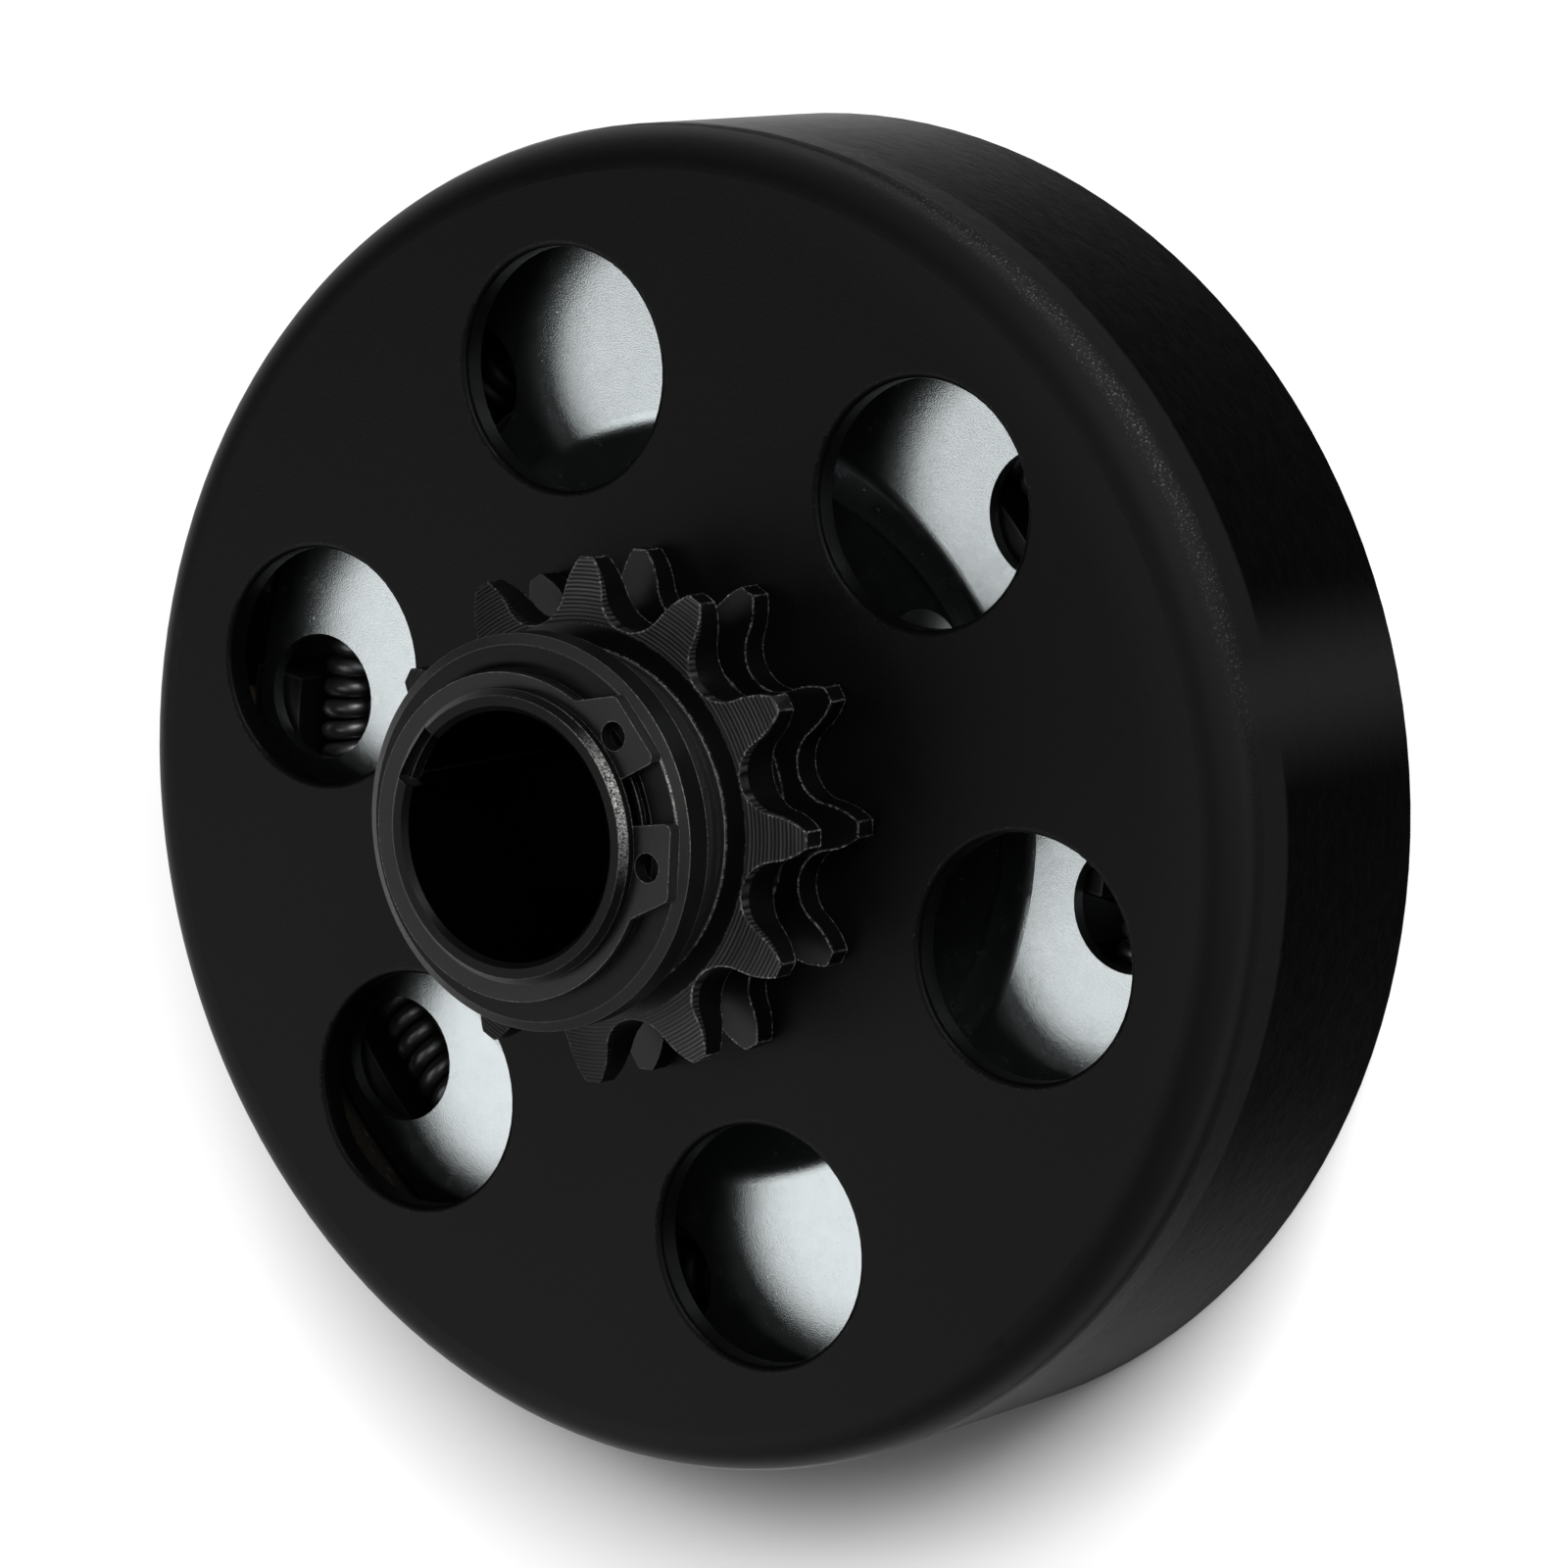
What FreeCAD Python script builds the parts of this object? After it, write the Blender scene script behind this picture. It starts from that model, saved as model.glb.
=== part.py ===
import FreeCAD, Part
import math
import os

# Centrifugal clutch with a sprocket drum. Millimetres, +Z along the shaft from the drum's open side to the
# sprocket. The origin is on the shaft axis in the plane of the drum's open rim, on which the clutch stands.

# Drum: a pressed cup with round windows in its face. Its radius follows from what it holds.
drum_depth = 24.5
drum_wall = 2.0
drum_edge_radius = 3.4
drum_inner_corner_radius = 1.4
window_count = 6
window_radius = 9.45
window_to_drum_edge = 8.35
window_edge_radius = 0.5
first_window_angle = 90.0

# Sprocket: a hobbed row of chain teeth, a groove, and a narrow row of the same teeth against the drum
chain_pitch = 9.525
roller_diameter = 5.08
roller_seat_clearance = 0.46
tooth_count = 12
tooth_tip_width = 1.25
tooth_tip_factor = 0.51
tooth_seat_angle = 68.0
first_tooth_angle = 15.0
front_row_width = 4.4
front_row_front_bevel = 1.0
front_row_back_bevel = 1.5
bevel_start_inside_root = 0.1
row_groove_width = 3.1
row_groove_wall = 1.28
back_row_width = 2.45
back_row_bevel = 0.25
boss_wall = 1.2
boss_length = 4.35
shank_shoulder = 0.6
stake_lip_width = 1.2
stake_lip_length = 1.2

# Bushing between sprocket and hub tube
bushing_wall = 1.05
bushing_running_clearance = 0.05
press_clearance = 0.02

# Hub: a tube with a shoulder, and driving lugs that the shoes slide on
bore_radius = 9.535
keyway_width = 4.76
keyway_depth = 1.1
keyway_angle = 131.5
bore_chamfer = 0.4
tube_wall = 1.665
tube_chamfer = 0.5
hub_core_wall = 4.8
lug_width = 9.8
lug_length = 11.0
hub_rear_recess = 0.4
nose_land = 1.25

# Thrust washers, beside the running gaps of the drum
axial_running_gap = 0.1
front_washer_thickness = 2.7
front_washer_width = 3.8
front_washer_outer_chamfer_width = 0.8
front_washer_outer_chamfer_depth = 0.5
front_washer_inner_chamfer_width = 0.7
front_washer_inner_chamfer_depth = 0.3
washer_bore_clearance = 0.1
inner_washer_thickness = 1.2
inner_washer_setback = 0.4

# Retaining ring in the groove of the hub's nose
ring_thickness = 1.2
ring_groove_depth = 0.75
ring_groove_clearance = 0.04
ring_back_width = 2.65
ring_front_width = 1.35
ring_gap_angle = 18.6
ring_lug_height = 4.21
ring_lug_angle = 23.0
ring_lug_taper_angle = 13.0
ring_lug_corner_radius = 0.6
ring_hole_radius = 1.1
ring_hole_inner_wall = 0.8
ring_hole_angle = 24.0
ring_turn = 2.0

# Cover plates: dished pressings with a ring of round holes
plate_thickness = 1.2
plate_rim_beyond_spring = 3.8
plate_dish_depth = 3.0
plate_dish_before_lug_end = 1.5
plate_dish_run = 4.2
plate_bend_radius = 1.1
plate_hole_count = 8
plate_hole_radius = 5.1
plate_hole_beyond_spring_ring = 0.05
plate_hole_turn = 3.2
plate_bore_clearance = 0.05
plate_to_drum_gap = 4.6
rear_plate_recess = 0.3

# Rivets through the plates and the driving lugs
rivet_radius = 2.0
rivet_hole_clearance = 0.05
rivet_before_lug_end = 5.2
rivet_head_radius = 3.4
rivet_head_height = 1.1

# Shoes, which slide outwards on the lugs, and their friction linings
shoe_count = 4
rotor_turn = 18.7
shoe_travel = 1.0
shoe_core_gap = 0.3
shoe_side_gap = 3.6
shoe_plate_clearance = 0.4
shoe_slot_clearance = 0.12
shoe_slot_end_gap = 0.4
shoe_step_beyond_dish = 2.3
shoe_wall_inside_spring = 3.6
shoe_wall_outside_spring = 5.45
engaged_lining_gap = 0.25
lining_thickness = 2.0
lining_end_setback = 2.5
bond_thickness = 0.02

# Garter spring in the grooves of the shoes
spring_coil_radius = 2.6
spring_groove_clearance = 1.0

# How far a cutting shape runs past what it cuts, and how near two places are to count as one
overcut = 1.0
same_place = 1e-4

# Places worked out along the axis, from the open rim towards the sprocket
drum_face_z = drum_depth
drum_inner_face_z = drum_face_z - drum_wall
back_row_front_z = drum_face_z + back_row_width
front_row_back_z = back_row_front_z + row_groove_width
front_row_front_z = front_row_back_z + front_row_width
boss_front_z = front_row_front_z + boss_length
stake_end_z = drum_inner_face_z - stake_lip_length
front_washer_back_z = boss_front_z + axial_running_gap
front_washer_front_z = front_washer_back_z + front_washer_thickness
ring_back_z = front_washer_front_z
ring_front_z = ring_back_z + ring_thickness
hub_front_z = ring_front_z + nose_land
inner_washer_front_z = stake_end_z - axial_running_gap
hub_shoulder_z = inner_washer_front_z - inner_washer_thickness
front_plate_front_z = drum_inner_face_z - plate_to_drum_gap
lug_front_z = front_plate_front_z - plate_dish_depth - plate_thickness
lug_back_z = rear_plate_recess + plate_dish_depth + plate_thickness
spring_z = front_plate_front_z - plate_thickness - shoe_plate_clearance - spring_coil_radius

# Radii worked out from the axis
tube_radius = bore_radius + tube_wall
bushing_bore_radius = tube_radius + bushing_running_clearance
bushing_radius = bushing_bore_radius + bushing_wall
sprocket_bore_radius = bushing_radius + press_clearance
boss_radius = sprocket_bore_radius + boss_wall
shank_radius = boss_radius + shank_shoulder
pitch_radius = chain_pitch / (2 * math.sin(math.pi / tooth_count))
tooth_tip_radius = chain_pitch * (tooth_tip_factor + 1 / math.tan(math.pi / tooth_count)) / 2
roller_seat_radius = roller_diameter / 2 + roller_seat_clearance
root_radius = pitch_radius - roller_seat_radius
row_groove_radius = sprocket_bore_radius + row_groove_wall
washer_bore_radius = tube_radius + washer_bore_clearance
front_washer_radius = washer_bore_radius + front_washer_width
ring_inner_radius = tube_radius - ring_groove_depth + ring_groove_clearance
ring_lug_reach = ring_inner_radius + ring_lug_height
ring_hole_circle_radius = ring_inner_radius + ring_hole_inner_wall + ring_hole_radius
hub_core_radius = tube_radius + hub_core_wall
inner_washer_radius = hub_core_radius - inner_washer_setback
lug_reach = hub_core_radius + lug_length
rivet_circle_radius = lug_reach - rivet_before_lug_end
plate_dish_inner_radius = lug_reach - plate_dish_before_lug_end
plate_dish_outer_radius = plate_dish_inner_radius + plate_dish_run
shoe_inner_radius = hub_core_radius + shoe_core_gap
shoe_step_radius = plate_dish_outer_radius + shoe_step_beyond_dish
spring_groove_inner_radius = shoe_step_radius + shoe_wall_inside_spring
spring_ring_radius = spring_groove_inner_radius + spring_groove_clearance + spring_coil_radius
spring_groove_outer_radius = spring_ring_radius + spring_coil_radius + spring_groove_clearance
plate_radius = spring_ring_radius + spring_coil_radius + plate_rim_beyond_spring
plate_hole_circle_radius = spring_ring_radius + plate_hole_beyond_spring_ring
engaged_shoe_radius = spring_groove_outer_radius + shoe_wall_outside_spring
engaged_lining_radius = engaged_shoe_radius + lining_thickness
drum_inner_radius = engaged_lining_radius + engaged_lining_gap
drum_radius = drum_inner_radius + drum_wall
window_circle_radius = drum_radius - window_to_drum_edge - window_radius

AXIS = FreeCAD.Vector(0, 0, 1)
ORIGIN = FreeCAD.Vector(0, 0, 0)


def polar(radius, angle, z=0.0):
    """Point at a radius and an angle in degrees round the shaft axis."""
    turn = math.radians(angle)
    return FreeCAD.Vector(radius * math.cos(turn), radius * math.sin(turn), z)


def turned(shape, angle):
    """Copy of a shape, turned about the shaft axis by an angle in degrees."""
    moved = shape.copy()
    moved.rotate(ORIGIN, AXIS, angle)
    return moved


def cylinder(radius, z_low, z_high, centre=ORIGIN):
    """Solid cylinder parallel to the shaft."""
    base = FreeCAD.Vector(centre.x, centre.y, z_low)
    return Part.makeCylinder(radius, z_high - z_low, base, AXIS)


def ring(outer, inner, z_low, z_high):
    """Plain ring round the shaft."""
    return cylinder(outer, z_low, z_high).cut(cylinder(inner, z_low - overcut, z_high + overcut))


def lathe(profile):
    """Solid turned from a closed outline of (radius, z) points."""
    points = [FreeCAD.Vector(r, 0, z) for r, z in profile]
    face = Part.Face(Part.makePolygon(points + points[:1]))
    return face.revolve(ORIGIN, AXIS, 360)


def prism(points, z_low, z_high):
    """Straight prism on a closed outline of points."""
    flat = [FreeCAD.Vector(p.x, p.y, z_low) for p in points]
    face = Part.Face(Part.makePolygon(flat + flat[:1]))
    return face.extrude(AXIS * (z_high - z_low))


def bar(length_low, length_high, width, z_low, z_high):
    """Block along +X, centred on the shaft axis in Y."""
    corner = FreeCAD.Vector(length_low, -width / 2, z_low)
    return Part.makeBox(length_high - length_low, width, z_high - z_low, corner)


def circular_edges(shape, radius, z):
    """Edges of a shape that are circles of a radius in a plane across the shaft."""
    found = []
    for edge in shape.Edges:
        curve = edge.Curve
        if not isinstance(curve, Part.Circle):
            continue
        if abs(curve.Radius - radius) < same_place and abs(curve.Center.z - z) < same_place:
            found.append(edge)
    return found


def upright_edges(shape, radius):
    """Straight edges of a shape that run along the shaft at a radius from its axis."""
    found = []
    for edge in shape.Edges:
        start, end = [vertex.Point for vertex in edge.Vertexes]
        along = math.hypot(start.x - end.x, start.y - end.y) < same_place
        if along and abs(math.hypot(start.x, start.y) - radius) < same_place:
            found.append(edge)
    return found


def spread(count, first_angle=0.0):
    """Angles of a pattern that goes evenly round the shaft."""
    return [first_angle + 360.0 * k / count for k in range(count)]


def make_drum():
    """Cup with its open side down, its windows and the hole for the sprocket's shank."""
    outer = cylinder(drum_radius, 0, drum_face_z)
    outer = outer.makeFillet(drum_edge_radius, circular_edges(outer, drum_radius, drum_face_z))
    inner = cylinder(drum_inner_radius, -overcut, drum_inner_face_z)
    corner = circular_edges(inner, drum_inner_radius, drum_inner_face_z)
    inner = inner.makeFillet(drum_inner_corner_radius, corner)
    cup = outer.cut(inner)
    hole_radius = shank_radius + press_clearance
    cup = cup.cut(cylinder(hole_radius, drum_inner_face_z - overcut, drum_face_z + overcut))
    for angle in spread(window_count, first_window_angle):
        centre = polar(window_circle_radius, angle)
        cup = cup.cut(cylinder(window_radius, drum_inner_face_z - overcut, drum_face_z + overcut, centre))
    window_edges = circular_edges(cup, window_radius, drum_face_z)
    return cup.makeFillet(window_edge_radius, window_edges)


def tooth_gap_edges(gap_angle, z):
    """Seat arc and the two flanks of one gap between teeth, from tooth tip to tooth tip."""
    tip_half_angle = math.degrees(math.asin(tooth_tip_width / 2 / tooth_tip_radius))
    half_pitch_angle = 180.0 / tooth_count
    seat = math.radians(tooth_seat_angle)
    seat_x = pitch_radius - roller_seat_radius * math.cos(seat)
    seat_y = roller_seat_radius * math.sin(seat)
    start = FreeCAD.Vector(seat_x, seat_y, z)
    along = FreeCAD.Vector(math.sin(seat), math.cos(seat), 0)
    tip = polar(tooth_tip_radius, half_pitch_angle - tip_half_angle, z)
    chord = tip - start
    left = FreeCAD.Vector(-along.y, along.x, 0)
    flank_radius = chord.dot(chord) / (2 * chord.dot(left))
    centre = start + left * flank_radius
    half_way = (start + tip) * 0.5 - centre
    middle = centre + half_way * (abs(flank_radius) / half_way.Length)

    def mirrored(point):
        return FreeCAD.Vector(point.x, -point.y, point.z)

    bottom = FreeCAD.Vector(root_radius, 0, z)
    edges = [
        Part.Arc(mirrored(tip), mirrored(middle), mirrored(start)).toShape(),
        Part.Arc(mirrored(start), bottom, start).toShape(),
        Part.Arc(start, middle, tip).toShape(),
    ]
    return [turned(edge, gap_angle) for edge in edges], turned(Part.Vertex(tip), gap_angle).Point


def toothed_prism(z_low, z_high):
    """Prism with the outline of the chain teeth."""
    edges = []
    half_pitch_angle = 180.0 / tooth_count
    for tooth_angle in spread(tooth_count, first_tooth_angle):
        gap, tip = tooth_gap_edges(tooth_angle - half_pitch_angle, z_low)
        edges.extend(gap)
        tip_angle = math.degrees(math.atan2(tip.y, tip.x))
        across = 2 * (tooth_angle - tip_angle)
        other = turned(Part.Vertex(tip), across).Point
        edges.append(Part.Arc(tip, polar(tooth_tip_radius, tooth_angle, z_low), other).toShape())
    wire = Part.Wire(Part.sortEdges(edges)[0])
    return Part.Face(wire).extrude(AXIS * (z_high - z_low))


def make_sprocket():
    """Both tooth rows, the groove, the boss in front and the shank staked in the drum."""
    bevel_start = root_radius - bevel_start_inside_root
    rows = toothed_prism(drum_face_z, front_row_front_z)
    envelope = lathe([
        (0, drum_face_z),
        (bevel_start, drum_face_z),
        (tooth_tip_radius, drum_face_z + back_row_bevel),
        (tooth_tip_radius, back_row_front_z - back_row_bevel),
        (bevel_start, back_row_front_z),
        (row_groove_radius, back_row_front_z),
        (row_groove_radius, front_row_back_z),
        (bevel_start, front_row_back_z),
        (tooth_tip_radius, front_row_back_z + front_row_back_bevel),
        (tooth_tip_radius, front_row_front_z - front_row_front_bevel),
        (bevel_start, front_row_front_z),
        (0, front_row_front_z),
    ])
    body = rows.common(envelope)
    body = body.fuse(cylinder(boss_radius, front_row_front_z, boss_front_z))
    body = body.fuse(cylinder(shank_radius, stake_end_z, drum_face_z))
    body = body.fuse(cylinder(shank_radius + stake_lip_width, stake_end_z, drum_inner_face_z))
    body = body.cut(cylinder(sprocket_bore_radius, stake_end_z - overcut, boss_front_z + overcut))
    return body.removeSplitter()


def make_bushing():
    """Plain bearing sleeve pressed in the sprocket."""
    return ring(bushing_radius, bushing_bore_radius, stake_end_z, boss_front_z)


def keyway_cut(z_low, z_high):
    """Block that cuts the keyway on one side of the bore."""
    block = bar(0, bore_radius + keyway_depth, keyway_width, z_low, z_high)
    return turned(block, keyway_angle)


def make_hub():
    """Bored tube with its shoulder, driving lugs, rivet holes, keyway and ring groove."""
    groove_radius = tube_radius - ring_groove_depth
    groove_front_z = ring_front_z + ring_groove_clearance
    hub = lathe([
        (bore_radius + bore_chamfer, hub_rear_recess),
        (hub_core_radius - tube_chamfer, hub_rear_recess),
        (hub_core_radius, hub_rear_recess + tube_chamfer),
        (hub_core_radius, hub_shoulder_z),
        (tube_radius, hub_shoulder_z),
        (tube_radius, ring_back_z),
        (groove_radius, ring_back_z),
        (groove_radius, groove_front_z),
        (tube_radius, groove_front_z),
        (tube_radius, hub_front_z - tube_chamfer),
        (tube_radius - tube_chamfer, hub_front_z),
        (bore_radius + bore_chamfer, hub_front_z),
        (bore_radius, hub_front_z - bore_chamfer),
        (bore_radius, hub_rear_recess + bore_chamfer),
    ])
    for angle in spread(shoe_count, rotor_turn):
        lug = bar(tube_radius, lug_reach, lug_width, lug_back_z, lug_front_z)
        hub = hub.fuse(turned(lug, angle))
    for angle in spread(shoe_count, rotor_turn):
        centre = polar(rivet_circle_radius, angle)
        hole_radius = rivet_radius + rivet_hole_clearance
        hub = hub.cut(cylinder(hole_radius, lug_back_z - overcut, lug_front_z + overcut, centre))
    hub = hub.cut(keyway_cut(hub_rear_recess - overcut, hub_front_z + overcut))
    return hub.removeSplitter()


def make_front_washer():
    """Thick washer with its outer and inner front edges chamfered."""
    return lathe([
        (washer_bore_radius, front_washer_back_z),
        (front_washer_radius, front_washer_back_z),
        (front_washer_radius, front_washer_front_z - front_washer_outer_chamfer_depth),
        (front_washer_radius - front_washer_outer_chamfer_width, front_washer_front_z),
        (washer_bore_radius + front_washer_inner_chamfer_width, front_washer_front_z),
        (washer_bore_radius, front_washer_front_z - front_washer_inner_chamfer_depth),
    ])


def make_inner_thrust_washer():
    """Flat washer between the hub's shoulder and the sprocket's inner end."""
    return ring(inner_washer_radius, washer_bore_radius, hub_shoulder_z, inner_washer_front_z)


def make_retaining_ring():
    """Open ring, wide opposite its gap, with two lugs that have plier holes."""
    mean_width = (ring_back_width + ring_front_width) / 2
    offset = (ring_back_width - ring_front_width) / 2
    centre = FreeCAD.Vector(-offset, 0, 0)
    body = cylinder(ring_inner_radius + mean_width, ring_back_z, ring_front_z, centre)
    half_gap = ring_gap_angle / 2
    lug_root = ring_inner_radius + ring_front_width
    for side in (1, -1):
        lug = [
            polar(ring_inner_radius, side * half_gap),
            polar(ring_lug_reach, side * half_gap),
            polar(ring_lug_reach, side * (half_gap + ring_lug_angle)),
            polar(lug_root, side * (half_gap + ring_lug_angle + ring_lug_taper_angle)),
            polar(ring_inner_radius, side * (half_gap + ring_lug_angle + ring_lug_taper_angle)),
        ]
        body = body.fuse(prism(lug, ring_back_z, ring_front_z))
    body = body.cut(cylinder(ring_inner_radius, ring_back_z - overcut, ring_front_z + overcut))
    far = 2 * ring_lug_reach
    wedge = [ORIGIN, polar(far, -half_gap), polar(far, half_gap)]
    body = body.cut(prism(wedge, ring_back_z - overcut, ring_front_z + overcut)).removeSplitter()
    body = body.makeFillet(ring_lug_corner_radius, upright_edges(body, ring_lug_reach))
    for side in (1, -1):
        centre = polar(ring_hole_circle_radius, side * ring_hole_angle)
        body = body.cut(cylinder(ring_hole_radius, ring_back_z - overcut, ring_front_z + overcut, centre))
    return turned(body, ring_turn)


def make_front_cover_plate():
    """Dished plate whose outer band stands towards the drum's face."""
    low_z = lug_front_z
    top_z = front_plate_front_z
    bore = hub_core_radius + plate_bore_clearance
    slope_shift = plate_thickness * plate_slope_factor()
    plate = lathe([
        (bore, low_z),
        (plate_dish_inner_radius + slope_shift, low_z),
        (plate_dish_outer_radius + slope_shift, low_z + plate_dish_depth),
        (plate_radius, low_z + plate_dish_depth),
        (plate_radius, top_z),
        (plate_dish_outer_radius, top_z),
        (plate_dish_inner_radius, top_z - plate_dish_depth),
        (bore, top_z - plate_dish_depth),
    ])
    bends = circular_edges(plate, plate_dish_outer_radius, top_z)
    bends += circular_edges(plate, plate_dish_inner_radius + slope_shift, low_z)
    plate = plate.makeFillet(plate_thickness + plate_bend_radius, bends)
    bends = circular_edges(plate, plate_dish_inner_radius, top_z - plate_dish_depth)
    bends += circular_edges(plate, plate_dish_outer_radius + slope_shift, low_z + plate_dish_depth)
    plate = plate.makeFillet(plate_bend_radius, bends)
    for angle in spread(plate_hole_count, plate_hole_turn):
        centre = polar(plate_hole_circle_radius, angle)
        plate = plate.cut(cylinder(plate_hole_radius, low_z - overcut, top_z + overcut, centre))
    for angle in spread(shoe_count):
        centre = polar(rivet_circle_radius, angle)
        hole_radius = rivet_radius + rivet_hole_clearance
        plate = plate.cut(cylinder(hole_radius, low_z - overcut, top_z + overcut, centre))
    return turned(plate, rotor_turn)


def plate_slope_factor():
    """Shift of the sloping wall's other side, in plate thicknesses, so that it is as thick as the rest."""
    rise = plate_dish_depth
    run = plate_dish_outer_radius - plate_dish_inner_radius
    return math.tan(math.atan2(rise, run) / 2)


def make_rear_cover_plate(front_plate):
    """The same pressing turned over, against the back of the driving lugs."""
    middle_z = (lug_front_z + lug_back_z) / 2
    plate = turned(front_plate, -rotor_turn)
    plate.rotate(FreeCAD.Vector(0, 0, middle_z), FreeCAD.Vector(1, 0, 0), 180)
    return turned(plate, rotor_turn)


def make_rivet(angle):
    """Rivet with a low domed head at each end."""
    front_z = lug_front_z + plate_thickness
    back_z = lug_back_z - plate_thickness
    centre = polar(rivet_circle_radius, angle)
    shank = cylinder(rivet_radius, back_z, front_z, centre)
    return shank.fuse(rivet_head(centre, front_z, 1)).fuse(rivet_head(centre, back_z, -1))


def rivet_head(centre, z, direction):
    """Cap of a sphere that stands on a plate."""
    dome_radius = (rivet_head_radius**2 + rivet_head_height**2) / (2 * rivet_head_height)
    ball_z = z + direction * (rivet_head_height - dome_radius)
    ball = Part.makeSphere(dome_radius, FreeCAD.Vector(centre.x, centre.y, ball_z))
    z_low = min(z, z + direction * 2 * rivet_head_height)
    z_high = max(z, z + direction * 2 * rivet_head_height)
    return ball.common(cylinder(rivet_head_radius + overcut, z_low, z_high, centre))


def shoe_sector(side_setback, z_low, z_high):
    """Wedge about +X that holds one shoe, set back from its neighbours by parallel side gaps."""
    half_angle = 180.0 / shoe_count
    apex = FreeCAD.Vector(side_setback / math.sin(math.radians(half_angle)), 0, 0)
    far = 3 * drum_radius
    return prism([apex, apex + polar(far, -half_angle), apex + polar(far, half_angle)], z_low, z_high)


def make_shoe(angle):
    """Block between the cover plates, with a slot for the hub's lug and a groove for the spring."""
    low_in = lug_back_z + shoe_plate_clearance
    low_out = rear_plate_recess + plate_thickness + shoe_plate_clearance
    high_in = lug_front_z - shoe_plate_clearance
    high_out = front_plate_front_z - plate_thickness - shoe_plate_clearance
    groove_floor = spring_z - spring_coil_radius - spring_groove_clearance
    blank = lathe([
        (shoe_inner_radius, low_in),
        (shoe_step_radius, low_in),
        (shoe_step_radius, low_out),
        (drum_inner_radius, low_out),
        (drum_inner_radius, high_out),
        (spring_groove_outer_radius, high_out),
        (spring_groove_outer_radius, groove_floor),
        (spring_groove_inner_radius, groove_floor),
        (spring_groove_inner_radius, high_out),
        (shoe_step_radius, high_out),
        (shoe_step_radius, high_in),
        (shoe_inner_radius, high_in),
    ])
    rest_centre = FreeCAD.Vector(-shoe_travel, 0, 0)
    shoe = blank.common(shoe_sector(shoe_side_gap / 2, low_out - overcut, high_out + overcut))
    shoe = shoe.common(cylinder(engaged_shoe_radius, low_out - overcut, high_out + overcut, rest_centre))
    slot_width = lug_width + 2 * shoe_slot_clearance
    slot_end = lug_reach + shoe_slot_end_gap
    shoe = shoe.cut(bar(0, slot_end, slot_width, low_out - overcut, high_out + overcut))
    return turned(shoe, angle)


def make_lining(angle):
    """Friction lining on the outside of a shoe, round about the shaft when the shoe is fully out."""
    z_low = rear_plate_recess + plate_thickness + shoe_plate_clearance
    z_high = front_plate_front_z - plate_thickness - shoe_plate_clearance
    centre = FreeCAD.Vector(-shoe_travel, 0, 0)
    lining = cylinder(engaged_lining_radius, z_low, z_high, centre)
    inner_radius = engaged_shoe_radius + bond_thickness
    lining = lining.cut(cylinder(inner_radius, z_low - overcut, z_high + overcut, centre))
    lining = lining.common(shoe_sector(shoe_side_gap / 2 + lining_end_setback, z_low, z_high))
    return turned(lining, angle)


def make_garter_spring():
    """Ring of the coil's outer size, which lies in the grooves of all the shoes."""
    return Part.makeTorus(spring_ring_radius, spring_coil_radius, FreeCAD.Vector(0, 0, spring_z), AXIS)


def build():
    """All pieces by node name."""
    front_plate = make_front_cover_plate()
    pieces = {
        "drum": make_drum(),
        "sprocket": make_sprocket(),
        "bushing": make_bushing(),
        "hub": make_hub(),
        "front_washer": make_front_washer(),
        "inner_thrust_washer": make_inner_thrust_washer(),
        "retaining_ring": make_retaining_ring(),
        "front_cover_plate": front_plate,
        "rear_cover_plate": make_rear_cover_plate(front_plate),
        "garter_spring": make_garter_spring(),
    }
    for number, angle in enumerate(spread(shoe_count, rotor_turn), start=1):
        pieces[f"rivet_{number}"] = make_rivet(angle)
        pieces[f"shoe_{number}"] = make_shoe(angle)
        pieces[f"lining_{number}"] = make_lining(angle)
    return pieces


def main():
    os.makedirs("parts", exist_ok=True)
    for name, shape in build().items():
        if not shape.isValid() or len(shape.Solids) != 1:
            raise ValueError(f"{name} is not one valid solid")
        shape.Solids[0].exportStep(f"parts/{name}.step")
        box = shape.BoundBox
        print(f"{name}: volume {shape.Volume:.1f} mm3, z {box.ZMin:.2f} to {box.ZMax:.2f}")


main()
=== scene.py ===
"""Looks of the centrifugal clutch: materials, the coiled spring, floor, light and camera."""

import math

import bpy
from mathutils import Matrix, Vector


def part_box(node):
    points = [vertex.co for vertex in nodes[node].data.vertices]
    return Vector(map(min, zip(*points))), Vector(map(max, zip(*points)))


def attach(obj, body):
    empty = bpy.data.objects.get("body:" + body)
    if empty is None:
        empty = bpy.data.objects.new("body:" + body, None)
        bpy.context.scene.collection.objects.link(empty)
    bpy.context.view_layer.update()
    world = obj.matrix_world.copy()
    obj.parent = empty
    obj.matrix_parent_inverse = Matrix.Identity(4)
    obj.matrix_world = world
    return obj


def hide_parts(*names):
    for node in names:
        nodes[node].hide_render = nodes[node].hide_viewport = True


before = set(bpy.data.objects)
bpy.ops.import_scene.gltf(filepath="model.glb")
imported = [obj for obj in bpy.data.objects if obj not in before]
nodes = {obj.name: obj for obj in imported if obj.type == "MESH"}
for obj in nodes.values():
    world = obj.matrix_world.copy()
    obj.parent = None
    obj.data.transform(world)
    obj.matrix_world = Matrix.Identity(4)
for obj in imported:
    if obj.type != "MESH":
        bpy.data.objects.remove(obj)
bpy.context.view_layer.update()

MM = 0.001
PER_MM = 1000.0

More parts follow.
